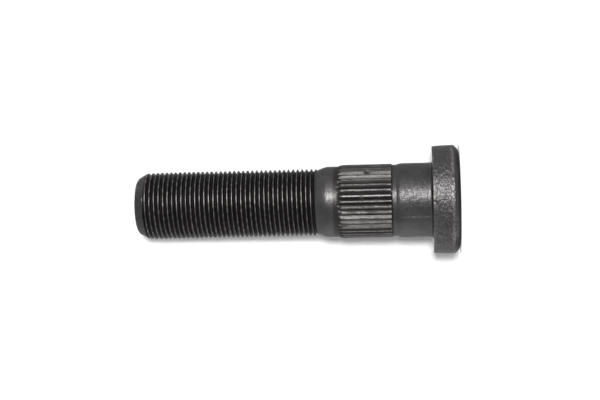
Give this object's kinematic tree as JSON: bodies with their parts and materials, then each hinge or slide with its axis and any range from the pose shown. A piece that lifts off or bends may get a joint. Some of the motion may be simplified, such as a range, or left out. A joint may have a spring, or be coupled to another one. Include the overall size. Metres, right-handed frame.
{
  "type": "wheel bolt",
  "caption": "Press-in wheel bolt: plain round head, smooth shank, splined neck that bites into the hub, and a fine right-hand thread for the wheel nut.",
  "frame": {"origin": "centre of the head's end face, on which the bolt stands", "axes": "+Z along the bolt's axis from the head to the threaded tip; X and Y are free, because the bolt is round"},
  "size_m": [0.0354, 0.0354, 0.1055],
  "materials": {
    "phosphated_steel": "forged steel, black phosphated and oiled"
  },
  "bodies": {
    "root": {"wheel_bolt": "phosphated_steel"}
  },
  "joints": []
}
